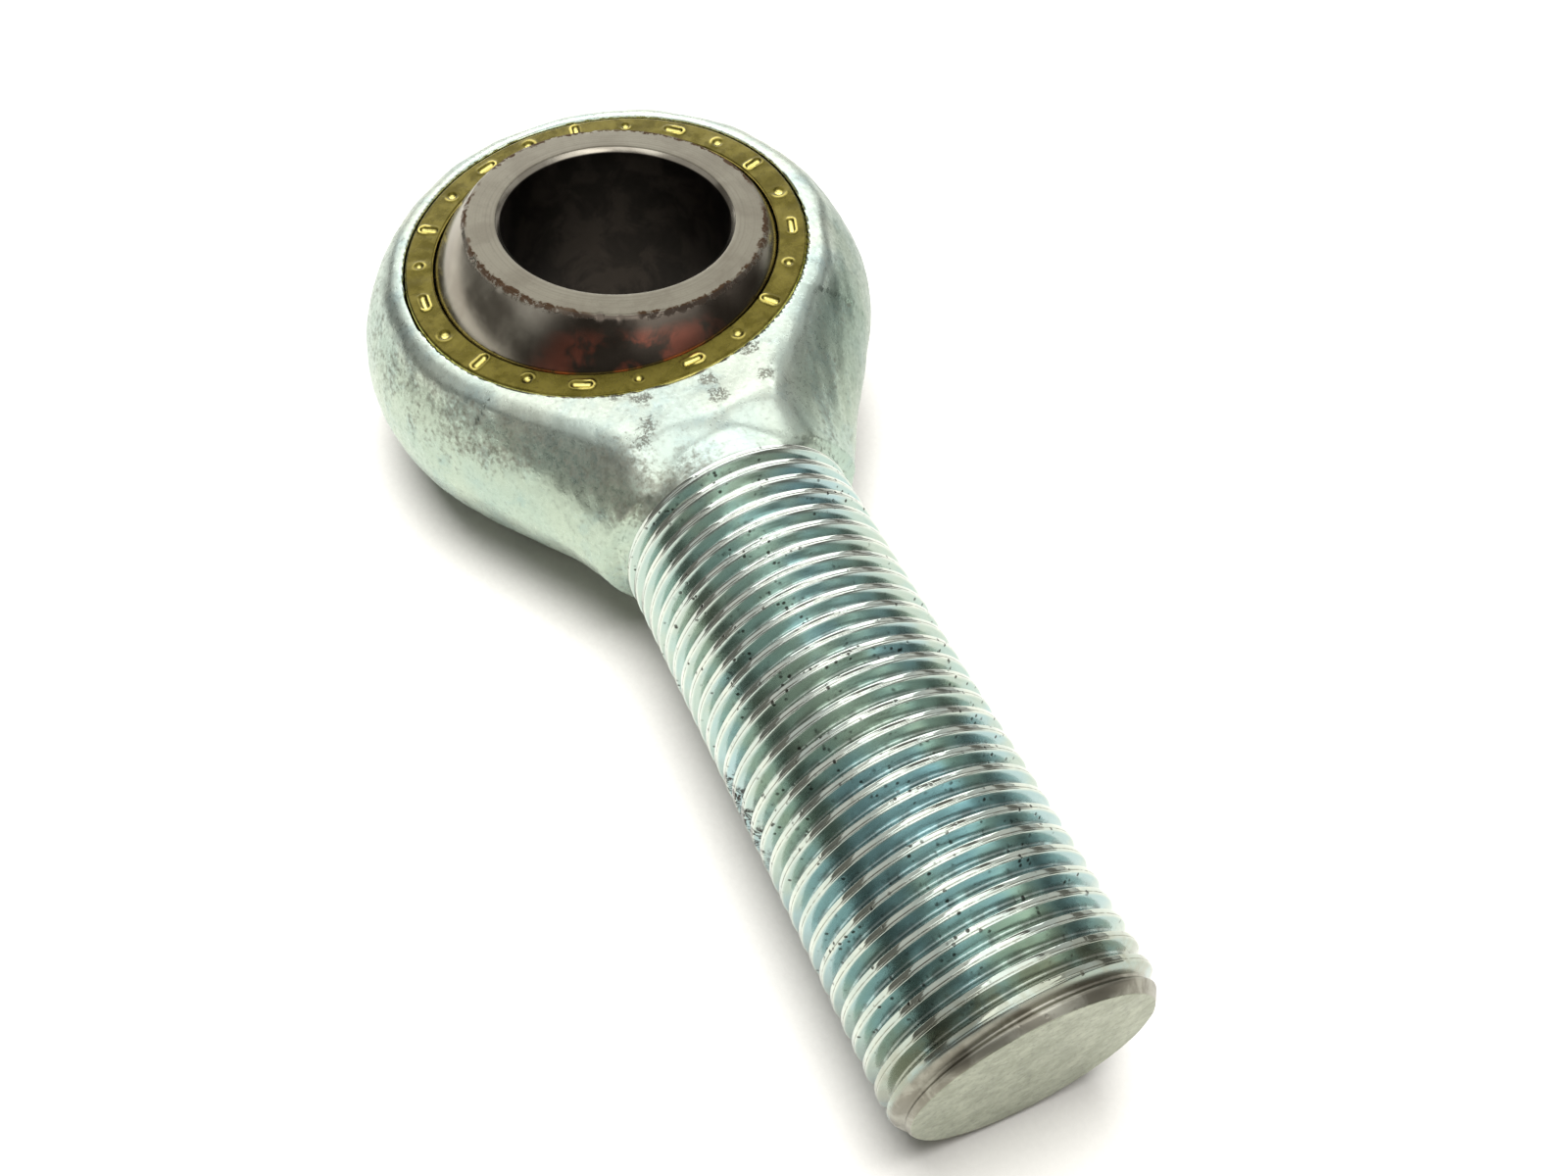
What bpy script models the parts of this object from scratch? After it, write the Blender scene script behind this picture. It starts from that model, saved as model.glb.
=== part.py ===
"""Male rod end bearing with a 3/4 inch bore: a forged head and threaded shank in one piece,
a brass race held in the head, and a spherical ball that swivels in the race.

The origin is the centre of the ball. The ball's flat faces are level, its bore runs along Z, and
the shank points along +X. The bearing lies on a table, so the head and the shank lean a little:
the ball's lower face, the end of the thread and the lower rim of the head all meet the table.
"""

import math

import bmesh
import bpy

MM = 0.001
INCH = 0.0254

# Ball
BORE_D = 0.750 * INCH
BALL_WIDTH = 0.875 * INCH
BALL_D = 1.312 * INCH
BORE_CHAMFER = 0.4 * MM

# Head
HEAD_D = 1.750 * INCH
HEAD_WIDTH = 0.687 * INCH
FACE_D = 36.6 * MM  # flat face of the head, around the race
BAND_WIDTH = 6.0 * MM  # upright band around the head's edge, between its two bevels
EDGE_EASE = 0.5 * MM  # the forging's edges are eased by about this much

# Race: its outside is a barrel, so the head holds it at both mouths
RACE_MOUTH_D = 33.6 * MM
RACE_BELLY_D = 37.2 * MM
RACE_WIDTH = 17.2 * MM
BALL_GAP = 0.25 * MM
SEAT_GAP = 0.3 * MM

# Shank
SHANK_LENGTH = 2.875 * INCH  # from the ball's centre to the threaded end
THREAD_MAJOR_D = 0.750 * INCH
THREAD_PITCH = INCH / 16
THREAD_DEPTH = 0.6134 * THREAD_PITCH
THREAD_FLANK = math.radians(30)  # half the angle between two flanks
CREST_SHARE = 0.125  # the crest's flat, as a share of the pitch
CREST_AT = 31.63 * MM  # one crest crosses the top of the shank here
THREAD_START = 25.6 * MM
RUN_IN = 1.9 * MM
END_CHAMFER = 1.5 * MM

# Neck: in plan, straight flanks leave the head's round edge and its round face, and close in on
# the shank. The flat face ends in a narrow tongue, a little above the round neck.
EDGE_FLANK = math.radians(32)
FACE_FLANK = math.radians(46)
TONGUE_END = 22.0 * MM
NECK_START = 19.0 * MM
NECK_LOW_D = 16.9 * MM
NECK_D = 17.9 * MM
NECK_END = 27.2 * MM

# Room that the cutting shapes leave round the solids they cut
THREAD_CLEAR = 0.2 * MM
SEAT_CUT_PAST = 1.0 * MM

# How the bearing lies
LEAN = math.radians(7.5)  # the head rolls about the shank until its lower rim meets the table
DROP = math.asin((BALL_WIDTH - THREAD_MAJOR_D) / 2 / (SHANK_LENGTH - END_CHAMFER))

SHARP_EDGE = math.radians(28)
TURNED_SIDES = 56
NECK_SIDES = 48
THREAD_SIDES = 24
HEAD_ARC_STEPS = 56
FLANK_STEPS = 5
BALL_ARC_STEPS = 10
BARREL_STEPS = 6


def clear_scene():
    for obj in list(bpy.data.objects):
        bpy.data.objects.remove(obj, do_unlink=True)


def material(name, colour, roughness, metallic):
    made = bpy.data.materials.new(name)
    made.use_nodes = True
    shader = made.node_tree.nodes["Principled BSDF"]
    shader.inputs["Base Color"].default_value = (*colour, 1.0)
    shader.inputs["Roughness"].default_value = roughness
    shader.inputs["Metallic"].default_value = metallic
    made.diffuse_color = (*colour, 1.0)
    return made


def mesh_object(name, mesh_data, look, parent):
    """An object from a bmesh, smooth on its round faces, held by its parent."""
    bmesh.ops.recalc_face_normals(mesh_data, faces=mesh_data.faces)
    mesh = bpy.data.meshes.new(name)
    mesh_data.to_mesh(mesh)
    mesh_data.free()
    mesh.shade_smooth()
    mesh.set_sharp_from_angle(angle=SHARP_EDGE)
    obj = bpy.data.objects.new(name, mesh)
    bpy.context.scene.collection.objects.link(obj)
    obj.parent = parent
    if look:
        mesh.materials.append(look)
    else:
        obj.hide_render = True
        obj.display_type = "WIRE"
    return obj


def arc(radius, centre_r, low_z, high_z, steps):
    """Points (r, z) on a circle whose centre is (centre_r, 0), evenly spaced in angle."""
    low = math.asin(low_z / radius)
    high = math.asin(high_z / radius)
    angles = [low + (high - low) * i / steps for i in range(steps + 1)]
    return [(centre_r + radius * math.cos(a), radius * math.sin(a)) for a in angles]


def barrel(mouth_r, belly_r, half_width, steps):
    """Points (r, z) up a barrel-shaped wall, from its lower mouth to its upper one."""
    rise = belly_r - mouth_r
    radius = (half_width**2 + rise**2) / (2 * rise)
    return arc(radius, belly_r - radius, -half_width, half_width, steps)


def turned(name, profile, look, parent, sides=TURNED_SIDES, along_x=False):
    """A solid turned about Z, or about X, from a closed outline of (r, height) points.
    A point with r = 0 lies on the axis."""
    shape = bmesh.new()
    rings = []
    for r, height in profile:
        ring = []
        for i in range(sides if r > 0 else 1):
            angle = 2 * math.pi * i / sides
            a, b = r * math.cos(angle), r * math.sin(angle)
            ring.append(shape.verts.new((height, a, b) if along_x else (a, b, height)))
        rings.append(ring)
    for lower, upper in zip(rings, rings[1:] + rings[:1]):
        for i in range(sides):
            j = (i + 1) % sides
            corners = [lower[i % len(lower)], lower[j % len(lower)]]
            corners += [upper[j % len(upper)], upper[i % len(upper)]]
            corners = list(dict.fromkeys(corners))
            if len(corners) > 2:
                shape.faces.new(corners)
    return mesh_object(name, shape, look, parent)


def plan(radius, flank, tip_x, z):
    """The head's outline at one height: a circle, and two straight flanks that leave it at a
    tangent and run to a blunt tip on the shank's side."""
    tip_half = (radius - tip_x * math.sin(flank)) / math.cos(flank)
    first = math.pi / 2 - flank
    sweep = 2 * (math.pi - first)
    points = []
    for i in range(HEAD_ARC_STEPS + 1):
        angle = first + sweep * i / HEAD_ARC_STEPS
        points.append((radius * math.cos(angle), radius * math.sin(angle), z))
    side = []
    for i in range(1, FLANK_STEPS + 1):
        share = i / FLANK_STEPS
        x = radius * math.cos(first) * (1 - share) + tip_x * share
        y = radius * math.sin(first) * (1 - share) + tip_half * share
        side.append((x, y, z))
    return points + [(x, -y, z) for x, y, z in side] + side[::-1]


def between(one, two, share):
    """The outline at a share of the way from one outline to another."""
    return [tuple(a + (b - a) * share for a, b in zip(p, q)) for p, q in zip(one, two)]


def head(look, parent):
    """The head with its flanks: flat on both faces, bevelled to an upright band at the edge."""
    half, low = HEAD_WIDTH / 2, BAND_WIDTH / 2
    bevel = math.hypot(half - low, (HEAD_D - FACE_D) / 2)
    ease = EDGE_EASE / bevel
    eased_face_r = FACE_D / 2 - EDGE_EASE
    levels = []
    for side in (-1, 1):
        face = plan(FACE_D / 2, FACE_FLANK, TONGUE_END, side * half)
        band = plan(HEAD_D / 2, EDGE_FLANK, NECK_END, side * low)
        eased_face = plan(eased_face_r, FACE_FLANK, TONGUE_END - EDGE_EASE, side * half)
        eased_band = plan(HEAD_D / 2, EDGE_FLANK, NECK_END, side * (low - EDGE_EASE))
        outlines = [eased_face, between(face, band, ease), between(band, face, ease), eased_band]
        levels += outlines if side < 0 else outlines[::-1]
    shape = bmesh.new()
    rings = [[shape.verts.new(point) for point in outline] for outline in levels]
    shape.faces.new(rings[0])
    shape.faces.new(rings[-1])
    for lower, upper in zip(rings, rings[1:]):
        for i, corner in enumerate(lower):
            shape.faces.new((lower[i - 1], corner, upper[i], upper[i - 1]))
    return mesh_object("rod_end_body", shape, look, parent)


def thread(parent):
    """A right-hand V thread longer than the shank at both ends, on a solid core."""
    crest_r = THREAD_MAJOR_D / 2
    root_r = crest_r - THREAD_DEPTH
    rise = THREAD_DEPTH * math.tan(THREAD_FLANK) / THREAD_PITCH
    fall = rise + CREST_SHARE
    section = ((0.0, root_r), (rise, crest_r), (fall, crest_r), (fall + rise, root_r))
    # A quarter turn brings the first crest to the top
    top_crest = THREAD_PITCH * (0.25 + (rise + fall) / 2)
    back = math.ceil((CREST_AT - top_crest - THREAD_START) / THREAD_PITCH) + 1
    first_x = CREST_AT - top_crest - back * THREAD_PITCH
    turns = math.ceil((SHANK_LENGTH - first_x) / THREAD_PITCH) + 1
    shape = bmesh.new()
    rows = []
    for i in range(turns * THREAD_SIDES + 1):
        angle = 2 * math.pi * i / THREAD_SIDES
        row = []
        for share, r in section:
            x = first_x + THREAD_PITCH * (i / THREAD_SIDES + share)
            row.append(shape.verts.new((x, r * math.cos(angle), r * math.sin(angle))))
        rows.append(row)
    for i, (one, two) in enumerate(zip(rows, rows[1:])):
        for j in range(len(section) - 1):
            shape.faces.new((one[j], two[j], two[j + 1], one[j + 1]))
        if i + THREAD_SIDES + 1 < len(rows):
            root, next_root = rows[i + THREAD_SIDES], rows[i + THREAD_SIDES + 1]
            shape.faces.new((one[-1], two[-1], next_root[0], root[0]))
    start = [row[0] for row in rows[: THREAD_SIDES + 1]] + rows[0][:0:-1]
    end = [row[-1] for row in rows[-THREAD_SIDES - 1 :]] + rows[-1][-2::-1]
    for loop, x in ((start, first_x - THREAD_PITCH), (end, rows[-1][-1].co.x + THREAD_PITCH)):
        tip = shape.verts.new((x, 0.0, 0.0))
        for one, two in zip(loop, loop[1:] + loop[:1]):
            shape.faces.new((one, two, tip))
    return mesh_object("thread_blank", shape, None, parent)


def boolean(obj, operation, other):
    cut = obj.modifiers.new(f"{operation.lower()} {other.name}", "BOOLEAN")
    cut.operation = operation
    cut.object = other


def neck(parent):
    """The round neck between the head and the thread."""
    outline = [
        (0.0, NECK_START),
        (NECK_LOW_D / 2, NECK_START),
        (NECK_LOW_D / 2, TONGUE_END + RUN_IN),
        (NECK_D / 2, THREAD_START),
        (NECK_D / 2, NECK_END),
        (0.0, NECK_END),
    ]
    return turned("neck", outline, None, parent, sides=NECK_SIDES, along_x=True)


def shank(parent):
    """The thread, cut to length, with a chamfered end and a short run-in at the neck."""
    blank = thread(parent)
    major_r = THREAD_MAJOR_D / 2
    clear_r = major_r + THREAD_CLEAR
    chamfer = END_CHAMFER + clear_r - major_r
    outline = [
        (0.0, THREAD_START),
        (clear_r - RUN_IN, THREAD_START),
        (clear_r, THREAD_START + RUN_IN),
        (clear_r, SHANK_LENGTH - chamfer),
        (clear_r - chamfer, SHANK_LENGTH),
        (0.0, SHANK_LENGTH),
    ]
    envelope = turned("shank_envelope", outline, None, parent, along_x=True)
    boolean(blank, "INTERSECT", envelope)
    return blank


def rod_end_body(look, parent):
    """The forged head, its neck and the threaded shank, with a barrel-shaped seat for the race."""
    body = head(look, parent)
    boolean(body, "UNION", neck(parent))
    boolean(body, "UNION", shank(parent))
    half = HEAD_WIDTH / 2
    mouth_r = RACE_MOUTH_D / 2 + SEAT_GAP
    belly_r = RACE_BELLY_D / 2 + SEAT_GAP
    past = SEAT_CUT_PAST
    wall = barrel(mouth_r, belly_r, half, BARREL_STEPS)
    seat = [(0.0, -half - past), (mouth_r, -half - past), *wall, (mouth_r, half + past)]
    cutter = turned("race_seat", [*seat, (0.0, half + past)], None, parent)
    boolean(body, "DIFFERENCE", cutter)
    return body


def race(look, parent):
    """The brass race: a barrel outside and a spherical bearing surface inside."""
    half = RACE_WIDTH / 2
    outside = barrel(RACE_MOUTH_D / 2, RACE_BELLY_D / 2, half, BARREL_STEPS)
    inside = arc(BALL_D / 2 + BALL_GAP, 0.0, -half, half, BALL_ARC_STEPS)
    return turned("race", outside + inside[::-1], look, parent)


def ball(look):
    """The ball: a sphere with two flat faces and a chamfered bore."""
    half = BALL_WIDTH / 2
    bore_r = BORE_D / 2
    sphere = arc(BALL_D / 2, 0.0, -half, half, BALL_ARC_STEPS)
    bore = [
        (bore_r + BORE_CHAMFER, half),
        (bore_r, half - BORE_CHAMFER),
        (bore_r, BORE_CHAMFER - half),
        (bore_r + BORE_CHAMFER, -half),
    ]
    return turned("ball", sphere + bore, look, None)


def main():
    clear_scene()
    zinc = material("zinc_plated_steel", (0.72, 0.77, 0.74), 0.38, 1.0)
    brass = material("brass", (0.46, 0.38, 0.12), 0.35, 1.0)
    ball_steel = material("ball_steel", (0.42, 0.38, 0.36), 0.25, 1.0)
    housing = bpy.data.objects.new("housing_axis", None)
    housing.rotation_euler = (LEAN, DROP, 0.0)
    bpy.context.scene.collection.objects.link(housing)
    rod_end_body(zinc, housing)
    race(brass, housing)
    ball(ball_steel)


main()
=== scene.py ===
import math

import bpy
import numpy as np
from mathutils import Euler, Matrix, Vector


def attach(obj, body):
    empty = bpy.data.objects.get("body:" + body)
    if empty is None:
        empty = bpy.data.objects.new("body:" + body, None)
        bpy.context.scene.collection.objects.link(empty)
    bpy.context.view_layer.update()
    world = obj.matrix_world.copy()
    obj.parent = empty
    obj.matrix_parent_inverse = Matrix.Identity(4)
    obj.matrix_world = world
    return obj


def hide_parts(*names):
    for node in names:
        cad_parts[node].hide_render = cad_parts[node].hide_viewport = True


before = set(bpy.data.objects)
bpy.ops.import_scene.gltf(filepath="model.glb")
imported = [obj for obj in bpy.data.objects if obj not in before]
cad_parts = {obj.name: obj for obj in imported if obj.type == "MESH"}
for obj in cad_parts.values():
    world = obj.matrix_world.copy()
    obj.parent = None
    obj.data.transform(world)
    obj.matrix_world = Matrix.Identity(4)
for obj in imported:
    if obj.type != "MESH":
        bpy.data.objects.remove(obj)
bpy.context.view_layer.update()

# Lengths are in millimetres, in the frame of the body that the piece rides on: X runs along the
# shank, and Z along the ball's bore. Angles that have names are in degrees, but for FULL_TURN.
MM = 0.001
INCH = 25.4
FULL_TURN = 2 * math.pi

# The housing lies rolled about the shank and tipped down to the table, as in the CAD
PITCH = 1.2718
ROLL = 7.5
BODY_TURN = Euler((math.radians(ROLL), math.radians(PITCH), 0.0)).to_matrix().to_4x4()

# Sizes that the CAD pieces have too
HALF_HEAD = 0.687 * INCH / 2
HEAD_R = 1.750 * INCH / 2
BAND = 3.0  # half the height of the head's rounded band
BALL_R = 1.312 * INCH / 2
HALF_BALL = 0.875 * INCH / 2
BALL_FACE_R = math.sqrt(BALL_R**2 - HALF_BALL**2)
BORE_R = 0.750 * INCH / 2
THREAD_R = 0.750 * INCH / 2
THREAD_PITCH = INCH / 16
SHANK_END = 2.875 * INCH


def smooth(low, high, value):
    """0 below low, 1 above high, and a smooth step between them."""
    t = np.clip((value - low) / (high - low), 0.0, 1.0)
    return t * t * (3 - 2 * t)


def smooth_max(a, b, k):
    """The larger of two values, rounded where they are less than k apart."""
    h = np.maximum(k - np.abs(a - b), 0.0) / k
    return np.maximum(a, b) + h * h * k / 4


def smooth_min(a, b, k):
    return -smooth_max(-a, -b, k)


def bell(value, centre, width):
    """1 at the centre, falling off to nothing about two widths away."""
    return np.exp(-(((value - centre) / width) ** 2))


def waves(points, length, seed, count=9):
    """Smooth bumps of about this wavelength, roughly from -1 to 1, the same for every run."""
    rng = np.random.default_rng(seed)
    total = np.zeros(points.shape[:-1])
    for _ in range(count):
        direction = rng.normal(size=3)
        direction *= FULL_TURN / length / np.linalg.norm(direction) * rng.uniform(0.7, 1.5)
        total += np.sin(points @ direction + rng.uniform(0, FULL_TURN))
    return total / math.sqrt(count)


# ---- the forged head and neck -------------------------------------------------------------

FACE_R = 18.45  # the flat faces' round part, a little wider than the CAD's
FACE_SHIFT = 0.4  # how far the faces sit towards -Y
BEVEL_SOFT = 0.62  # how widely the band blends into the bevel, as a share of the bevel
BEVEL_LIMIT = 1.2
FLANK_AT_BAND = 32  # how steeply the flanks run in to the neck, at the band and at the faces
FLANK_AT_FACE = 41.5
TONGUE_X = 22.0  # where the face begins to slope down to the neck
TONGUE_RISE, TONGUE_RUN, TONGUE_LENGTH = 5.73, 5.3, 7.8
NECK_R = 8.42
NECK_FROM = 14.0
NECK_TO = 31.5
BLANK_R = 8.9  # the thread's blank, turned down past a short shoulder
SHOULDER_X = 25.5
SEAT_MOUTH = 16.93  # the race's barrel-shaped seat, at the faces and at its middle
SEAT_BELLY = 18.72


def barrel_wall(mouth, belly, half):
    """Radius of the arc along a barrel's side."""
    rise = belly - mouth
    return (half**2 + rise**2) / (2 * rise)


def head_distance(p):
    """Below zero inside the forging. p is (..., 3)."""
    x, y, z = p[..., 0], p[..., 1], p[..., 2]
    up = np.abs(z)
    # The bevel: 0 at the rounded band, 1 at the flat face
    share = smooth_max((up - BAND) / (HALF_HEAD - BAND), 0.0, BEVEL_SOFT)
    share = np.minimum(share, BEVEL_LIMIT)
    side = np.abs(y + FACE_SHIFT * share)
    radius = HEAD_R - (HEAD_R - FACE_R) * share
    flank = np.radians(FLANK_AT_BAND + (FLANK_AT_FACE - FLANK_AT_BAND) * np.clip(share, 0, 1))
    sine, cosine = np.sin(flank), np.cos(flank)
    round_part = np.hypot(x, y) - radius
    straight_part = x * sine + side * cosine - radius
    plan = np.where(x * cosine - side * sine > 0, straight_part, round_part)
    plan = plan * (1 - 0.25 * smooth(0.05, 0.8, share))  # nearer a true distance on the bevel
    tip = ((x - TONGUE_X) * TONGUE_RISE + (up - HALF_HEAD) * TONGUE_RUN) / TONGUE_LENGTH
    edge = 1.5 - 0.75 * smooth(0.0, 14.0, x)  # the faces' edge is sharper towards the neck
    body = smooth_max(smooth_max(plan, tip, 0.9), up - HALF_HEAD, edge)
    # The round neck, lower than the face's tongue
    neck_r = NECK_R + 0.5 * smooth(22.5, 27.0, x) - 1.6 * smooth(23.0, 17.0, x)
    neck_r = neck_r - 1.3 * smooth(28.2, 31.0, x)
    neck = smooth_max(np.hypot(y, z) - neck_r, x - NECK_TO, 0.3)
    neck = np.maximum(neck, NECK_FROM - x)
    blend = 1.0 + 3.8 * smooth(2.0, 7.5, side)  # wider at the sides than over the top
    solid = smooth_min(body, neck, blend)
    # Past the shoulder, everything lies within the blank
    blank = BLANK_R + 0.6 * smooth(SHOULDER_X + 0.8, SHOULDER_X, x)
    blank = blank + 3.0 * np.maximum(SHOULDER_X - x, 0.0)
    solid = smooth_max(solid, np.hypot(y, z) - blank, 0.4)
    # The skin is not quite even, as forged
    out = smooth(17.5, 20.0, np.hypot(x, y))
    away = smooth(0.6, 3.0, np.abs(up - HALF_HEAD) + out * 3)
    skin = 0.045 * waves(p, 7.0, 5) + 0.018 * waves(p, 2.6, 6)
    solid = solid + skin * (0.25 + 0.75 * away)
    # The race's seat is cut out
    wall = barrel_wall(SEAT_MOUTH, SEAT_BELLY, HALF_HEAD)
    barrel = np.hypot(np.hypot(x, y) - (SEAT_BELLY - wall), z) - wall
    seat = np.where(np.hypot(x, y) > SEAT_BELLY - wall, barrel, -wall)
    return smooth_max(solid, -seat, 0.25)


def gradient(distance, p, step=0.02):
    grad = np.empty_like(p)
    for axis in range(3):
        shift = np.zeros(3)
        shift[axis] = step
        grad[:, axis] = distance(p + shift) - distance(p - shift)
    grad /= 2 * step
    return grad


def neighbours(axis):
    """Two indexes that pair each sample with the next one along the axis."""
    one = [slice(None)] * 3
    two = [slice(None)] * 3
    one[axis], two[axis] = slice(0, -1), slice(1, None)
    return tuple(one), tuple(two)


def surface_nets(distance, low, high, step):
    """Quads around distance = 0, and their vertices, from samples on a grid."""
    counts = [int(round((b - a) / step)) + 1 for a, b in zip(low, high)]
    axes = [a + step * np.arange(n) for a, n in zip(low, counts)]
    values = np.empty(counts)
    for i, x in enumerate(axes[0]):
        yy, zz = np.meshgrid(axes[1], axes[2], indexing="ij")
        values[i] = distance(np.stack([np.full_like(yy, x), yy, zz], axis=-1))
    inside = values < 0
    cells = tuple(n - 1 for n in counts)
    # One vertex in each cell that the surface crosses, at the mean of its edges' crossings
    total = np.zeros((*cells, 3))
    hits = np.zeros(cells)
    for axis in range(3):
        one, two = neighbours(axis)
        a, b = values[one], values[two]
        cross = (a < 0) != (b < 0)
        t = np.where(cross, a / np.where(cross, a - b, 1.0), 0.0)
        others = [k for k in range(3) if k != axis]
        for du in (0, 1):
            for dv in (0, 1):
                pick = [slice(None)] * 3
                pick[others[0]] = slice(du, du + cells[others[0]])
                pick[others[1]] = slice(dv, dv + cells[others[1]])
                c, tt = cross[tuple(pick)], t[tuple(pick)]
                hits += c
                total[..., axis] += np.where(c, tt, 0)
                total[..., others[0]] += np.where(c, du, 0)
                total[..., others[1]] += np.where(c, dv, 0)
    used = hits > 0
    index = np.full(cells, -1, np.int64)
    index[used] = np.arange(used.sum())
    where = np.argwhere(used)
    points = (where + total[used] / hits[used][:, None]) * step + np.array(low)
    # One quad round each grid edge that crosses the surface, facing out
    quads = []
    for axis in range(3):
        one, two = neighbours(axis)
        a, b = inside[one], inside[two]
        edges = np.argwhere(a != b)
        others = [(axis + 1) % 3, (axis + 2) % 3]
        ok = (edges[:, others[0]] > 0) & (edges[:, others[1]] > 0)
        edges = edges[ok]
        corners = []
        for du, dv in ((0, 0), (1, 0), (1, 1), (0, 1)):
            cell = edges.copy()
            cell[:, others[0]] -= du
            cell[:, others[1]] -= dv
            corners.append(index[tuple(cell.T)])
        quad = np.stack(corners, axis=1)
        leaving = a[tuple(edges.T)]
        quad[~leaving] = quad[~leaving][:, ::-1]
        quads.append(quad)
    return points, np.concatenate(quads)


def settle(distance, points, quads, rounds=4):
    """Evens the mesh out along the surface, then puts each vertex on the surface."""
    for _ in range(rounds):
        total = np.zeros_like(points)
        count = np.zeros(len(points))
        for k in range(4):
            here, after = quads[:, k], quads[:, (k + 1) % 4]
            np.add.at(total, here, points[after])
            np.add.at(total, after, points[here])
            np.add.at(count, here, 1)
            np.add.at(count, after, 1)
        points = points * 0.5 + 0.5 * total / count[:, None]
        for _ in range(2):
            grad = gradient(distance, points)
            size = np.maximum((grad * grad).sum(axis=1), 0.05)
            move = distance(points)[:, None] * grad / size[:, None]
            length = np.linalg.norm(move, axis=1, keepdims=True)
            points = points - move * np.minimum(1.0, 0.25 / np.maximum(length, 1e-9))
    return points


def mesh_piece(name, points, faces, body, node, turn=None, normals=None):
    """A smooth mesh object that rides on a body and stands for a CAD node."""
    mesh = bpy.data.meshes.new(name)
    mesh.from_pydata((points * MM).tolist(), [], [list(f) for f in faces])
    mesh.shade_smooth()
    if normals is not None:
        mesh.normals_split_custom_set_from_vertices(normals.tolist())
    obj = bpy.data.objects.new(name, mesh)
    bpy.context.scene.collection.objects.link(obj)
    if turn is not None:
        obj.matrix_world = turn
    bpy.context.view_layer.update()
    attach(obj, body)
    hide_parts(node)
    return obj


def paint(piece, name, values):
    """A number for each vertex, which the piece's material reads by name."""
    attribute = piece.data.attributes.new(name, "FLOAT", "POINT")
    attribute.data.foreach_set("value", values.tolist())


def head_stain_and_shade(x, y, z):
    """How far handling stains cover the forging, under the face's crease and round the neck,
    and how far painted shade covers the +Y side's bevel.
    """
    around = np.degrees(np.arctan2(y, x))
    low = 1.5 + 2.2 * smooth(11, 20, x)
    stain_and_shade = smooth(low, low + 3.2, z) * smooth(8.6, 7.6, z) * smooth(-3, -9, y)
    stain_and_shade = stain_and_shade * (0.55 + 0.45 * smooth(2, 16, x))
    stain_and_shade = stain_and_shade * smooth(-165, -120, around)
    stain_and_shade += 0.9 * bell(x, 25.2, 2.4) * smooth(2.0, -4.0, y) * smooth(4.0, 7.0, z)
    stain_and_shade += 0.30 * bell(x, 26.6, 1.3)
    # Darker on the lower bevel, down to the bottom face
    stain_and_shade += 0.55 * smooth(-2, -7, z) * smooth(-8.72, -8.2, z)
    # Painted shade: the +Y side's bevel is darkened
    stain_and_shade += 0.35 * smooth(1.5, 5.0, z) * smooth(8.5, 7.6, z) * smooth(3, 9, y) * smooth(5, 16, x)
    stain_and_shade += 0.8 * bell(x, 24.0, 1.6) * bell(y, -9.5, 1.1) * bell(z, 2.8, 1.6)
    stain_and_shade += 0.6 * bell(x, 21.8, 1.8) * bell(y, -6.2, 1.9) * smooth(5.0, 7.0, z)
    return np.clip(0.62 * stain_and_shade, 0, 0.8)


def head_pits(x, y, z):
    """Pits in the plating, gathered in small patches on the flat face."""
    left = ((16.5, 6), (19.5, 6), (18, 1.8), (20, 2))
    right = ((17.7, -3.5), (16.3, -5), (20.3, -4), (21.7, -5))
    pits = np.zeros(len(x))
    for spot_x, spot_y in left + right:
        pits += np.exp(-((x - spot_x) ** 2 + (y - spot_y) ** 2) / 0.75)
    return np.clip(pits * smooth(7.6, 8.5, z), 0, 1)


def forged_head():
    step = 0.34
    points, quads = surface_nets(head_distance, (-23, -23, -9.18), (32.3, 23, 9.2), step)
    points = settle(head_distance, points, quads)
    normals = gradient(head_distance, points, 0.03)
    normals /= np.linalg.norm(normals, axis=1, keepdims=True)
    piece = mesh_piece(
        "forged_head",
        points,
        quads.tolist(),
        "housing",
        "rod_end_body",
        BODY_TURN,
        normals,
    )
    paint(piece, "stain_and_shade", head_stain_and_shade(*points.T))
    paint(piece, "pits", head_pits(*points.T))
    return piece


# ---- the threaded shank --------------------------------------------------------------------

ROOT_DEPTH = 0.80
CREST_HALF = 0.148  # half the crest's flat, as a share of the pitch
SEAM_AT = 0.560  # where the rolled crest folds together, counted from the root
SEAM_HALF = 0.022
# Points over one pitch: root, flank, the crest's edge, the crest with its seam, and back
SHARES = np.concatenate([
    np.linspace(0.0, 0.09, 4),
    np.linspace(0.16, 0.30, 3),
    np.linspace(0.332, 0.368, 4),
    np.linspace(0.43, 0.50, 2),
    np.linspace(SEAM_AT - SEAM_HALF, SEAM_AT + SEAM_HALF, 5),
    [0.605],
    np.linspace(0.632, 0.668, 4),
    np.linspace(0.70, 0.84, 3),
    np.linspace(0.91, 0.97, 3),
])
CREST_X = 31.615  # where a crest crosses the top of the shank
START_X = 24.4  # the first turn begins inside the neck
RISE_FROM, RISE_TO = 25.0, 26.6  # where the first turn rises out of the neck
CHAMFER_X = SHANK_END - 1.75  # the chamfered end, from the thread to the flat end face
CHAMFER_FROM_R = 9.62
CHAMFER_TO_R = 8.55


def depth_of(share):
    """Depth under the crest: flanks at 60 degrees, rounded root and edges, and the seam."""
    slope = THREAD_PITCH / math.tan(math.radians(30))
    flanks = (np.abs(share - 0.5) - CREST_HALF) * slope
    rounded = smooth_max(smooth_min(flanks, ROOT_DEPTH, 0.12), 0.0, 0.04)
    return rounded + 0.042 * bell(share, SEAM_AT, 0.009)


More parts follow.
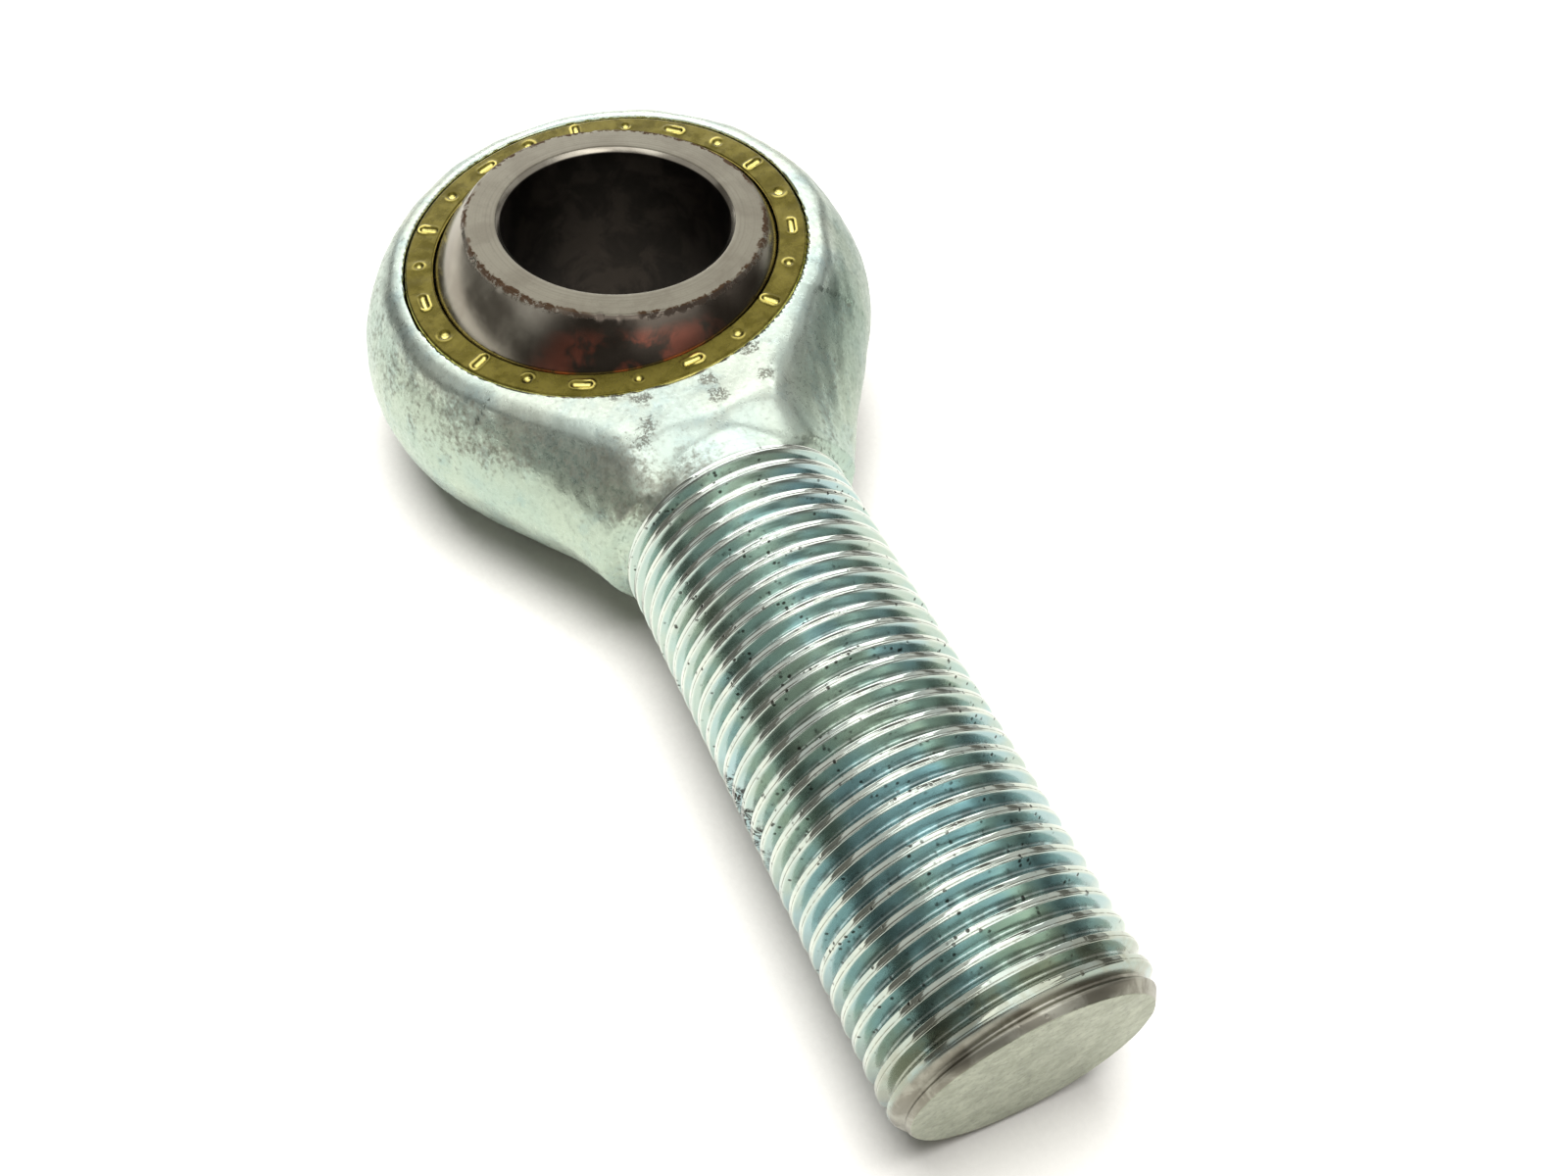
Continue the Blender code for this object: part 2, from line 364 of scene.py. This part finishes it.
def threaded_shank():
    """One helical strip, as wide as a pitch, whose last column meets its first a turn later."""
    sides = 100
    depth = depth_of(SHARES)
    # The middle of the crest, half a pitch on, is over the top after a quarter turn
    first = CREST_X - THREAD_PITCH * (0.5 + 0.25)
    first -= THREAD_PITCH * math.ceil((first - START_X) / THREAD_PITCH)
    turns = int((SHANK_END - first) / THREAD_PITCH) + 4
    turn = np.arange(turns * sides + 1)[:, None] / sides
    x = first + THREAD_PITCH * (turn + SHARES[None, :])
    angle = np.broadcast_to(FULL_TURN * turn, x.shape)
    r = THREAD_R - np.broadcast_to(depth[None, :], x.shape)
    r = r - (1 - smooth(RISE_FROM, RISE_TO, x)) * 1.5
    # Past the chamfer's start the surface turns in along the cone, then along the end face
    taper = (CHAMFER_FROM_R - CHAMFER_TO_R) / (SHANK_END - CHAMFER_X)
    cone_r = CHAMFER_FROM_R - (x - CHAMFER_X) * taper
    cone_r = cone_r + 0.09 * np.clip((x - CHAMFER_X) * (SHANK_END - x), -1, 1)
    r = np.where(x > CHAMFER_X - 1.0, smooth_min(r, cone_r, 0.25), r)
    past = np.maximum(x - SHANK_END, 0)
    r = np.where(past > 0, np.minimum(r, CHAMFER_TO_R - past * 0.9), r)
    x = np.minimum(x, SHANK_END)
    points = np.stack([x, r * np.cos(angle), r * np.sin(angle)], axis=-1)

    rows, cols = x.shape
    ids = np.arange(rows * cols).reshape(rows, cols)
    strip = np.stack([ids[:-1, :-1], ids[1:, :-1], ids[1:, 1:], ids[:-1, 1:]], -1)
    join = rows - 1 - sides
    meeting = [ids[:join, -1], ids[1 : join + 1, -1], ids[sides + 1 :, 0], ids[sides:-1, 0]]
    faces = np.concatenate([strip.reshape(-1, 4), np.stack(meeting, -1)]).tolist()
    # A fan closes each end, from the strip's open edge to a point on the axis
    flat = points.reshape(-1, 3)
    start = list(ids[: sides + 1, 0]) + list(ids[0, 1:][::-1])
    end = list(ids[-sides - 1 :, -1]) + list(ids[-1, :-1][::-1])
    tips = []
    for loop, tip_x, turn_over in ((start, flat[start, 0].mean(), True), (end, SHANK_END, False)):
        tip = len(flat) + len(tips)
        tips.append((tip_x, 0.0, 0.0))
        for a, b in zip(loop, loop[1:] + loop[:1]):
            faces.append([int(b), int(a), tip] if turn_over else [int(a), int(b), tip])
    flat = np.concatenate([flat, np.array(tips)])
    piece = mesh_piece(
        "threaded_shank",
        flat,
        faces,
        "housing",
        "rod_end_body",
        BODY_TURN,
    )
    on_end = flat[:, 0] > SHANK_END - 1e-6
    piece.data.polygons.foreach_set("use_smooth", [not on_end[face].all() for face in faces])

    on_thread = smooth(CHAMFER_X + 0.3, CHAMFER_X, x)
    from_low_side = np.degrees(np.abs(np.angle(np.exp(1j * (angle - math.pi)))))
    painted = {
        "seam": on_thread * bell(SHARES, SEAM_AT, 0.018),
        "root": on_thread * smooth(0.45, 0.8, depth),
        "crest": on_thread * smooth(0.10, 0.01, depth),
        "grime": bell(x, 49.5, 4.2) * smooth(20, 6, from_low_side),
    }
    for name, values in painted.items():
        paint(piece, name, np.concatenate([values.reshape(-1), np.zeros(len(tips))]))
    return piece


# ---- the race and the ball --------------------------------------------------------------------

HALF_RACE = 8.62
RACE_MOUTH, RACE_BELLY = 16.83, 18.6
RACE_GAP = 0.14  # between the ball and the race
MARKS = 22
MARK_R = 15.68  # the circle that the punch marks lie on


def lathe(profile, sides, shift):
    """Points and quads turned about Z from a closed outline of (r, z), as grid rows by angle.
    shift(r, z, angle) moves each point."""
    r = np.array([a for a, _ in profile])
    z = np.array([b for _, b in profile])
    angle = FULL_TURN * np.arange(sides)[:, None] / sides
    r, z = np.broadcast_to(r, (sides, len(r))), np.broadcast_to(z, (sides, len(z)))
    angle = np.broadcast_to(angle, r.shape)
    r, z = shift(r, z, angle)
    points = np.stack([r * np.cos(angle), r * np.sin(angle), z], axis=-1)
    a = np.arange(points.shape[0] * points.shape[1]).reshape(points.shape[:2])
    b = np.roll(a, -1, axis=0)
    c, d = np.roll(b, -1, axis=1), np.roll(a, -1, axis=1)
    quads = np.stack([a, b, c, d], -1).reshape(-1, 4)
    return points.reshape(-1, 3), quads.tolist()


def arc(radius, centre_r, low_z, high_z, steps):
    """Points of (r, z) along an arc about (centre_r, 0)."""
    low, high = math.asin(low_z / radius), math.asin(high_z / radius)
    angles = [low + (high - low) * i / steps for i in range(steps + 1)]
    return [(centre_r + radius * math.cos(a), radius * math.sin(a)) for a in angles]


def ripple(angle, seed, slowest, fastest, count=12):
    """A closed wavy line round the circle, roughly from -1 to 1."""
    rng = np.random.default_rng(seed)
    total = np.zeros_like(angle)
    for _ in range(count):
        speed = rng.integers(slowest, fastest + 1)
        total = total + np.sin(speed * angle + rng.uniform(0, 6.283))
    return total / math.sqrt(count)


def punched(r, angle):
    """Height of the race's face: evenly spaced punch marks, each a dent with a raised lip.
    Dots and short bars take turns, and the bars run across the face or along it."""
    height = np.zeros_like(r)
    for k in range(MARKS):
        at = FULL_TURN * (k + 0.35) / MARKS
        along = np.angle(np.exp(1j * (angle - at))) * 15.7
        across = r - MARK_R
        # Distance from the mark's middle, in widths of the mark
        if k % 2:
            far = np.hypot(along, across) / (0.29 + 0.05 * (k % 3))
        elif k % 4:
            far = np.hypot(np.maximum(np.abs(across) - 0.47, 0), along) / 0.26
        else:
            far = np.hypot(np.maximum(np.abs(along) - 0.56, 0), across) / 0.25
        lean = along * math.cos(k * 1.9) + across * math.sin(k * 1.9)
        lip = (0.40 + 0.60 * smooth(-0.25, 0.35, lean)) * (0.45 if k % 2 else 1.0)
        height -= 0.17 * np.exp(-(far**2))
        height += 0.12 * lip * bell(far, 1.55, 0.6)
    return height


def race_ring():
    wall = barrel_wall(RACE_MOUTH, RACE_BELLY, HALF_RACE)
    outside = arc(wall, RACE_BELLY - wall, -HALF_RACE + 0.08, HALF_RACE - 0.08, 12)
    inside = arc(BALL_R + RACE_GAP, 0.0, -HALF_RACE + 0.22, HALF_RACE - 0.22, 16)[::-1]
    outer, inner = RACE_MOUTH - 0.1, inside[0][0] + 0.1
    steps = 26
    top = [(outer + (inner - outer) * i / steps, HALF_RACE) for i in range(steps + 1)]
    bottom = [(r, -z) for r, z in top[::-4]]

    def shift(r, z, angle):
        on_top = (z > HALF_RACE - 0.01).astype(float)
        return r, z + on_top * (punched(r, angle) + 0.012 * ripple(angle, 3, 5, 60))

    sides = 1200
    points, faces = lathe(outside + top + inside + bottom, sides, shift)
    return mesh_piece("race_ring", points, faces, "housing", "race", BODY_TURN)


def ball_piece():
    sphere = arc(BALL_R, 0.0, -HALF_BALL + 0.05, HALF_BALL - 0.05, 60)
    outer, inner = BALL_FACE_R - 0.07, BORE_R + 0.42
    top = [(outer + (inner - outer) * i / 12, HALF_BALL) for i in range(13)]
    chamfer = [
        (BORE_R + 0.38, HALF_BALL - 0.03),
        (BORE_R + 0.05, HALF_BALL - 0.36),
        (BORE_R + 0.01, HALF_BALL - 0.42),
    ]
    bore = [(BORE_R, (HALF_BALL - 0.5) * (1 - i / 10)) for i in range(21)]
    bottom = [(r, -z) for r, z in (top + chamfer)[::-1]]

    def shift(r, z, angle):
        """Small chips along the faces' outer edge."""
        chip = np.maximum(ripple(angle, 8, 9, 70) - 0.55, 0)
        worn = np.maximum(0.4 + ripple(angle, 9, 2, 9), 0)
        chip = np.minimum(chip * worn, 0.9)
        near = bell(np.hypot(r - BALL_FACE_R, np.abs(z) - HALF_BALL), 0.0, 0.16)
        return r - 0.13 * chip * near, z - np.sign(z) * 0.05 * chip * near

    sides = 720
    points, faces = lathe(sphere + top + chamfer + bore + bottom, sides, shift)
    return mesh_piece("ball_sphere", points, faces, "ball", "ball")


head = forged_head()
shank = threaded_shank()
race = race_ring()
ball = ball_piece()


# ---- materials ------------------------------------------------------------------------------


class Finish:
    """One material, with short names for the nodes that it is made of."""

    def __init__(self, name, **fixed):
        self.material = bpy.data.materials.new(name)
        self.material.use_nodes = True
        self.tree = self.material.node_tree
        self.shader = self.tree.nodes["Principled BSDF"]
        for socket, value in fixed.items():
            self.shader.inputs[socket.replace("_", " ")].default_value = value
        place = self.add("ShaderNodeTexCoord").outputs["Object"]
        self.place = self.stretch(place, (1000, 1000, 1000))
        split = self.add("ShaderNodeSeparateXYZ", {0: self.place})
        self.x, self.y, self.z = split.outputs

    def add(self, kind, inputs=None, **settings):
        node = self.tree.nodes.new(kind)
        for key, value in settings.items():
            setattr(node, key, value)
        for key, value in (inputs or {}).items():
            if isinstance(value, bpy.types.NodeSocket):
                self.tree.links.new(value, node.inputs[key])
            elif isinstance(value, tuple) and len(value) == 3 and node.inputs[key].type == "RGBA":
                node.inputs[key].default_value = (*value, 1)
            else:
                node.inputs[key].default_value = value
        return node

    def stretch(self, vector, by):
        return self.add("ShaderNodeVectorMath", {0: vector, 1: by}, operation="MULTIPLY").outputs[0]

    def noise(self, size, detail=4.0, rough=0.55, bend=0.0, vector=None):
        """Cloudy noise whose blobs are about this big, 0.5 on average."""
        inputs = {"Vector": vector or self.place, "Scale": 1.0 / size, "Detail": detail}
        inputs.update({"Roughness": rough, "Distortion": bend})
        return self.add("ShaderNodeTexNoise", inputs).outputs[0]

    def dots(self, spacing, radius):
        """1 in small round dots about this far apart, else 0."""
        inputs = {"Vector": self.place, "Scale": 1.0 / spacing}
        distance = self.add("ShaderNodeTexVoronoi", inputs).outputs["Distance"]
        return self.ramp(distance, radius / spacing, 0.5 * radius / spacing)

    def math(self, operation, *values, clamp=False):
        inputs = dict(enumerate(values))
        return self.add("ShaderNodeMath", inputs, operation=operation, use_clamp=clamp).outputs[0]

    def plus(self, *values, clamp=False):
        return self.math("ADD", *values, clamp=clamp)

    def times(self, *values):
        return self.math("MULTIPLY", *values)

    def off(self, a, b):
        """How far apart two values are."""
        return self.math("ABSOLUTE", self.math("SUBTRACT", a, b))

    def ragged(self, value, noise, amount):
        """The value, pushed up and down by a noise."""
        return self.math("MULTIPLY_ADD", self.math("SUBTRACT", noise, 0.5), amount, value)

    def ramp(self, value, low, high, first=0.0, last=1.0):
        """first at low, last at high, and a smooth step between them; low may be the larger."""
        inputs = {0: value, 1: low, 2: high, 3: first, 4: last}
        if low > high:
            inputs = {0: value, 1: high, 2: low, 3: last, 4: first}
        kind = "ShaderNodeMapRange"
        return self.add(kind, inputs, interpolation_type="SMOOTHSTEP").outputs[0]

    def mix(self, share, a, b, how="MIX"):
        inputs = {0: share, 6: a, 7: b}
        return self.add("ShaderNodeMix", inputs, data_type="RGBA", blend_type=how).outputs[2]

    def painted(self, name):
        return self.add("ShaderNodeAttribute", attribute_name=name).outputs["Fac"]

    def bump(self, height, depth, under=None):
        inputs = {"Height": height, "Distance": depth * MM, "Strength": 1.0}
        if under:
            inputs["Normal"] = under
        return self.add("ShaderNodeBump", inputs).outputs[0]

    def finish(self, colour, rough, normal):
        self.tree.links.new(colour, self.shader.inputs["Base Color"])
        self.tree.links.new(rough, self.shader.inputs["Roughness"])
        self.tree.links.new(normal, self.shader.inputs["Normal"])
        return self.material


def forged_zinc():
    m = Finish("zinc_plating_forged", Metallic=1.0)
    cloud = m.noise(9.0, 3, 0.5, 0.4)
    patch = m.noise(2.8, 5, 0.6, 0.3)
    grain = m.noise(0.42, 5, 0.65)
    colour = m.mix(m.ramp(cloud, 0.38, 0.62), (0.475, 0.56, 0.505), (0.54, 0.595, 0.51))
    colour = m.mix(m.ramp(patch, 0.48, 0.70, 0, 0.6), colour, (0.37, 0.48, 0.47))
    colour = m.mix(m.ramp(grain, 0.50, 0.74, 0, 0.4), colour, (0.29, 0.32, 0.28))
    # Off the flat faces the plating is a little greener, and the +Y side carries painted shade
    sides = m.ramp(m.math("ABSOLUTE", m.z), 8.5, 6.5)
    colour = m.mix(sides, colour, (0.85, 0.915, 0.87), "MULTIPLY")
    painted_shade_plus_y = m.times(sides, m.ramp(m.y, 9.0, 16.0))
    colour = m.mix(painted_shade_plus_y, colour, (0.58, 0.62, 0.61), "MULTIPLY")
    # Handling stains and painted shade, with ragged edges
    stain_and_shade = m.ragged(m.ragged(m.painted("stain_and_shade"), grain, 2.3), patch, 1.5)
    stain_and_shade_share = m.ramp(stain_and_shade, 0.20, 1.0)
    light, dark = (0.30, 0.295, 0.245), (0.15, 0.135, 0.10)
    stain_and_shade_colour = m.mix(m.ramp(m.noise(0.7, 5, 0.7), 0.42, 0.62), light, dark)
    colour = m.mix(m.times(stain_and_shade_share, 0.68), colour, stain_and_shade_colour)
    # Pits in patches on the face, and a few loose ones
    pits = m.ragged(m.painted("pits"), m.noise(0.6, 3, 0.6), 1.6)
    fine = m.math("MAXIMUM", m.dots(0.40, 0.17), m.ramp(m.noise(0.20, 3, 0.6), 0.44, 0.56))
    pitted = m.times(m.ramp(pits, 0.40, 0.75), fine)
    loose = m.times(m.dots(2.2, 0.16), m.ramp(m.noise(4.0, 2), 0.5, 0.62))
    pitted = m.math("MAXIMUM", pitted, loose)
    colour = m.mix(m.times(pitted, 0.75), colour, (0.10, 0.09, 0.07))
    rough = m.plus(m.ramp(grain, 0.3, 0.7, 0.25, 0.40), m.times(stain_and_shade_share, 0.16))
    height = m.math("SUBTRACT", grain, m.times(pitted, 1.2))
    normal = m.bump(m.noise(1.5, 4, 0.6), 0.05, m.bump(height, 0.018))
    return m.finish(colour, rough, normal)


def rolled_zinc():
    m = Finish("zinc_plating_rolled", Metallic=1.0)
    cloud = m.noise(6.0, 3, 0.5, 0.5)
    patch = m.noise(2.2, 4, 0.6, 0.4)
    streak = m.noise(1.0, 4, 0.6, 0, m.stretch(m.place, (7.0, 0.30, 0.30)))
    colour = m.mix(m.ramp(cloud, 0.36, 0.64), (0.43, 0.555, 0.515), (0.47, 0.555, 0.485))
    bluer = m.plus(m.noise(9.0, 2), m.times(m.math("SUBTRACT", m.x, 46.0), 0.005))
    colour = m.mix(m.ramp(bluer, 0.45, 0.62, 0, 0.8), colour, (0.405, 0.565, 0.60))
    colour = m.mix(m.ramp(patch, 0.52, 0.72, 0, 0.2), colour, (0.30, 0.39, 0.36))
    colour = m.mix(m.ramp(streak, 0.52, 0.74, 0, 0.22), colour, (0.26, 0.34, 0.31))
    # Rubbed crests, the dark seam along them, darker patches in the roots, and specks
    crest = m.painted("crest")
    rubbed = m.mix(m.ramp(patch, 0.4, 0.6), (0.60, 0.67, 0.62), (0.69, 0.74, 0.67))
    colour = m.mix(crest, colour, rubbed)
    seam = m.times(m.painted("seam"), m.ramp(m.noise(0.5, 3), 0.30, 0.55))
    colour = m.mix(m.times(seam, 0.9), colour, (0.15, 0.13, 0.08))
    root_patches = m.times(m.painted("root"), m.ramp(m.noise(1.6, 4, 0.65), 0.38, 0.62))
    colour = m.mix(m.times(root_patches, 0.55), colour, (0.10, 0.10, 0.085))
    specks = m.times(m.dots(0.60, 0.17), m.ramp(m.noise(3.0, 3, 0.6), 0.49, 0.60))
    colour = m.mix(m.times(specks, 0.92), colour, (0.03, 0.028, 0.022))
    # The last turns are worn, and painted shade darkens the whole thread slowly towards them
    near_end = m.ramp(m.x, SHANK_END - 5.5, SHANK_END - 2.0)
    worn = m.times(near_end, m.ramp(patch, 0.35, 0.6, 0.3, 0.9))
    colour = m.mix(worn, colour, (0.36, 0.37, 0.30))
    # Painted shade: the whole thread darkens slowly towards the end
    colour = m.mix(m.ramp(m.x, 30.0, SHANK_END), colour, (0.84, 0.86, 0.84), "MULTIPLY")
    # Black grime in cracks, low on the shank's -Y side
    cracks = m.ramp(m.off(m.noise(0.9, 4, 0.65, 0.8), 0.5), 0.07, 0.02)
    grime = m.times(m.ramp(m.painted("grime"), 0.25, 0.7), cracks)
    colour = m.mix(grime, colour, (0.022, 0.02, 0.016))
    # The chamfer and the end face
    cone = m.ramp(m.x, SHANK_END - 1.55, SHANK_END - 1.15)
    cone_colour = m.mix(m.ramp(patch, 0.4, 0.6), (0.22, 0.21, 0.17), (0.35, 0.345, 0.29))
    colour = m.mix(cone, colour, cone_colour)
    flat_end = m.ramp(m.x, SHANK_END - 0.06, SHANK_END - 0.01)
    blotch = m.ramp(m.noise(1.1, 5, 0.7), 0.35, 0.68)
    end_colour = m.mix(blotch, (0.285, 0.305, 0.23), (0.41, 0.435, 0.34))
    flecks = m.ramp(m.noise(0.36, 4, 0.6), 0.50, 0.70, 0, 0.6)
    end_colour = m.mix(flecks, end_colour, (0.20, 0.21, 0.17))
    colour = m.mix(flat_end, colour, end_colour)
    rough = m.plus(m.ramp(streak, 0.3, 0.7, 0.16, 0.22), m.times(seam, 0.25))
    rough = m.math("SUBTRACT", rough, m.times(crest, 0.12))
    rough = m.plus(rough, m.times(cone, 0.18))
    rough = m.plus(rough, m.times(flat_end, 0.07))
    rough = m.plus(rough, m.times(root_patches, 0.2), clamp=True)
    height = m.math("SUBTRACT", m.times(streak, 0.7), m.times(specks, 1.6))
    height = m.plus(height, m.times(m.times(flat_end, 3.0), m.noise(0.7, 5, 0.65)))
    normal = m.bump(height, 0.006, m.bump(m.noise(1.9, 2), 0.006))
    return m.finish(colour, rough, normal)


def race_brass():
    m = Finish("race_brass_olive", Metallic=1.0)
    patch = m.noise(1.8, 5, 0.6, 0.3)
    grain = m.noise(0.22, 4, 0.6)
    around = m.noise(1.0, 3, 0.6, 0, m.stretch(m.place, (0.8, 3.0, 3.0)))
    colour = m.mix(m.ramp(patch, 0.36, 0.66), (0.068, 0.056, 0.009), (0.132, 0.110, 0.022))
    colour = m.mix(m.ramp(grain, 0.52, 0.72, 0, 0.6), colour, (0.085, 0.068, 0.02))
    # The punch marks' lips and dents are bare brass, coloured bright as painted glints
    lip = m.ramp(m.z, HALF_RACE + 0.02, HALF_RACE + 0.07)
    colour = m.mix(m.times(lip, 0.75), colour, (0.70, 0.60, 0.17))
    dent = m.times(m.ramp(m.z, HALF_RACE - 0.05, HALF_RACE - 0.14), m.ramp(m.z, 8.3, 8.4))
    colour = m.mix(dent, colour, (0.86, 0.76, 0.25))
    rough = m.ramp(patch, 0.3, 0.7, 0.20, 0.36)
    normal = m.bump(m.plus(grain, m.times(around, 0.8)), 0.012, m.bump(patch, 0.03))
    return m.finish(colour, rough, normal)


def ball_steel():
    m = Finish("ball_steel_ground", Metallic=1.0)
    flat = m.stretch(m.place, (1.0, 1.0, 0.0))
    reach = m.add("ShaderNodeVectorMath", {0: flat}, operation="LENGTH").outputs["Value"]
    height = m.math("ABSOLUTE", m.z)
    on_face = m.ramp(height, HALF_BALL - 0.05, HALF_BALL - 0.02)
    in_bore = m.ramp(reach, BORE_R + 0.12, BORE_R + 0.02)
    patch = m.noise(3.5, 4, 0.6, 0.5)
    grain = m.noise(0.20, 4, 0.6)
    turned = m.add(
        "ShaderNodeTexNoise",
        {"W": m.times(reach, 5.0), "Scale": 1.0, "Detail": 3.0},
        noise_dimensions="1D",
    ).outputs[0]
    flank = m.mix(m.ramp(patch, 0.35, 0.68), (0.28, 0.255, 0.21), (0.40, 0.375, 0.315))
    face = m.mix(m.ramp(patch, 0.35, 0.65), (0.130, 0.118, 0.090), (0.170, 0.158, 0.122))
    face = m.mix(m.ramp(turned, 0.45, 0.7, 0, 0.3), face, (0.105, 0.093, 0.072))
    face = m.mix(m.ramp(grain, 0.55, 0.75, 0, 0.4), face, (0.088, 0.077, 0.060))
    colour = m.mix(on_face, flank, face)
    # Rust flecks on the face's outer edge
    wander = m.times(m.math("SUBTRACT", m.noise(0.6, 4, 0.7), 0.5), 2.1)
    edge = m.plus(m.ramp(m.off(reach, BALL_FACE_R + 0.02), 0.85, 0.0), wander)
    band = m.times(m.ramp(edge, 0.72, 0.95), m.ramp(height, HALF_BALL - 0.5, HALF_BALL - 0.2))
    flecks = m.times(band, m.ramp(m.noise(4.5, 2), 0.34, 0.46))
    colour = m.mix(m.times(flecks, 0.9), colour, (0.085, 0.045, 0.022))
    # The side towards the shank carries painted reflections: a dark one, and a red-brown one on it
    front = m.times(m.ramp(m.x, 7.5, 11.0), m.math("SUBTRACT", 1.0, on_face))
    colour = m.mix(m.times(front, 0.9), colour, (0.055, 0.042, 0.033))
    painted_red_reflection = m.times(m.ramp(m.noise(3.0, 4, 0.6, 0.4), 0.44, 0.58), m.ramp(m.x, 9.5, 12.0))
    painted_red_reflection = m.times(painted_red_reflection, m.ramp(m.y, 6.0, -1.0))
    painted_red_reflection = m.times(painted_red_reflection, m.ramp(height, HALF_BALL - 0.6, HALF_BALL - 1.8))
    colour = m.mix(m.times(painted_red_reflection, 0.8), colour, (0.36, 0.125, 0.085))
    # Painted shade: the bore's wall is coloured near black
    bore = m.mix(m.ramp(patch, 0.4, 0.6), (0.030, 0.026, 0.022), (0.055, 0.046, 0.038))
    colour = m.mix(in_bore, colour, bore)
    rough = m.plus(m.ramp(patch, 0.3, 0.7, 0.18, 0.26), m.times(on_face, 0.16))
    rough = m.plus(rough, m.times(flecks, 0.4))
    rough = m.plus(rough, m.times(in_bore, 0.22), clamp=True)
    rise = m.plus(m.times(turned, 0.7), m.times(grain, 0.6))
    rise = m.times(rise, m.ramp(on_face, 0, 1, 0.12, 1.0))
    rise = m.plus(rise, m.times(flecks, 1.5))
    return m.finish(colour, rough, m.bump(rise, 0.012))


def pale_card():
    m = Finish("floor_card", Metallic=0.0)
    fibre = m.noise(0.5, 4, 0.6)
    colour = m.mix(m.ramp(fibre, 0.3, 0.7), (0.685, 0.67, 0.635), (0.715, 0.70, 0.665))
    rough = m.ramp(fibre, 0.3, 0.7, 0.55, 0.7)
    return m.finish(colour, rough, m.bump(fibre, 0.02))


head.data.materials.append(forged_zinc())
shank.data.materials.append(rolled_zinc())
race.data.materials.append(race_brass())
ball.data.materials.append(ball_steel())

# ---- floor, camera and light ---------------------------------------------------------------

FLOOR_HALF = 0.6  # metres
FLOOR_GAP = 0.03  # under the ball's face, so that the two never share a plane
corners = [(-1, -1), (1, -1), (1, 1), (-1, 1)]
floor_mesh = bpy.data.meshes.new("floor")
floor_points = [(x * FLOOR_HALF, y * FLOOR_HALF, 0) for x, y in corners]
floor_mesh.from_pydata(floor_points, [], [(0, 1, 2, 3)])
floor = bpy.data.objects.new("floor", floor_mesh)
floor.location = (0, 0, -(HALF_BALL + FLOOR_GAP) * MM)
floor_mesh.materials.append(pale_card())
bpy.context.scene.collection.objects.link(floor)

# The camera stands where the photo's outlines of the ball, the head and the shank's end put it.
# CAMERA_SPIN is an axis times an angle in radians, from the world to the camera.
CAMERA_PLACE = Vector((96.371, -32.749, 86.988))
CAMERA_SPIN = Vector((2.092, 1.377, -0.429))
camera_data = bpy.data.cameras.new("camera")
camera = bpy.data.objects.new("camera", camera_data)
bpy.context.scene.collection.objects.link(camera)
bpy.context.scene.camera = camera
camera_data.sensor_width = 36.0
camera_data.lens = 33.93
camera_data.clip_start = 0.001
to_camera = Matrix.Rotation(CAMERA_SPIN.length, 3, CAMERA_SPIN.normalized())
flip = Matrix(((1, 0, 0), (0, -1, 0), (0, 0, -1)))  # Blender's camera looks along its own -Z
facing = (flip @ to_camera).transposed().to_4x4()
camera.matrix_world = Matrix.Translation(CAMERA_PLACE * MM) @ facing

# Dim room light on the object, and a plain white backdrop behind it
world = bpy.data.worlds.new("world")
bpy.context.scene.world = world
world.use_nodes = True
room = world.node_tree.nodes["Background"]
room.inputs["Color"].default_value = (1, 0.96, 0.88, 1)
room.inputs["Strength"].default_value = 0.18
backdrop = world.node_tree.nodes.new("ShaderNodeBackground")
backdrop.inputs["Color"].default_value = (1, 1, 1, 1)
backdrop.inputs["Strength"].default_value = 0.97
either = world.node_tree.nodes.new("ShaderNodeMixShader")
ray = world.node_tree.nodes.new("ShaderNodeLightPath")
world.node_tree.links.new(ray.outputs["Is Camera Ray"], either.inputs[0])
world.node_tree.links.new(room.outputs[0], either.inputs[1])
world.node_tree.links.new(backdrop.outputs[0], either.inputs[2])
world.node_tree.links.new(either.outputs[0], world.node_tree.nodes["World Output"].inputs[0])

object_only = bpy.data.collections.new("object_only")
for piece in (head, shank, race, ball):
    object_only.objects.link(piece)
floor_only = bpy.data.collections.new("floor_only")
floor_only.objects.link(floor)
LIGHTS_ABOUT = Vector((0.03, 0, -0.011))  # metres: the floor under the middle of the object


def softbox(name, azimuth, elevation, width, height, radiance, far=0.7, lit=object_only):
    """A rectangular light seen from the object at this direction, with these angular sizes."""
    a, e = math.radians(azimuth), math.radians(elevation)
    away = Vector((math.cos(a) * math.cos(e), math.sin(a) * math.cos(e), math.sin(e)))
    data = bpy.data.lights.new(name, "AREA")
    data.shape = "RECTANGLE"
    data.size = 2 * far * math.tan(math.radians(width / 2))
    data.size_y = 2 * far * math.tan(math.radians(height / 2))
    data.energy = radiance * math.pi * data.size * data.size_y
    light = bpy.data.objects.new(name, data)
    bpy.context.scene.collection.objects.link(light)
    light.location = LIGHTS_ABOUT + away * far
    light.rotation_euler = (-away).to_track_quat("-Z", "Y").to_euler()
    light.visible_camera = False
    light.light_linking.receiver_collection = lit


softbox("ceiling", -30, 82, 54, 58, 1.70)
softbox("back_wall", 168, 34, 66, 48, 1.9)
softbox("back_lamp", 170, 19, 24, 14, 2.6)
softbox("left_wall", 95, 42, 62, 40, 0.5)
softbox("right_wall", -100, 46, 56, 44, 0.5)
softbox("front_high", 18, 49, 38, 26, 1.9)
softbox("front_middle", 12, 31, 44, 16, 0.5)
softbox("front_low", 11, 6, 22, 10, 1.2)
softbox("left_low", 115, 6, 44, 10, 0.45)
# This one lights the floor alone, and the object casts its shadow in it
softbox("floor_lamp", 184, 83, 42, 42, 12.2, far=4.0, lit=floor_only)
bpy.context.scene.view_settings.view_transform = "Standard"
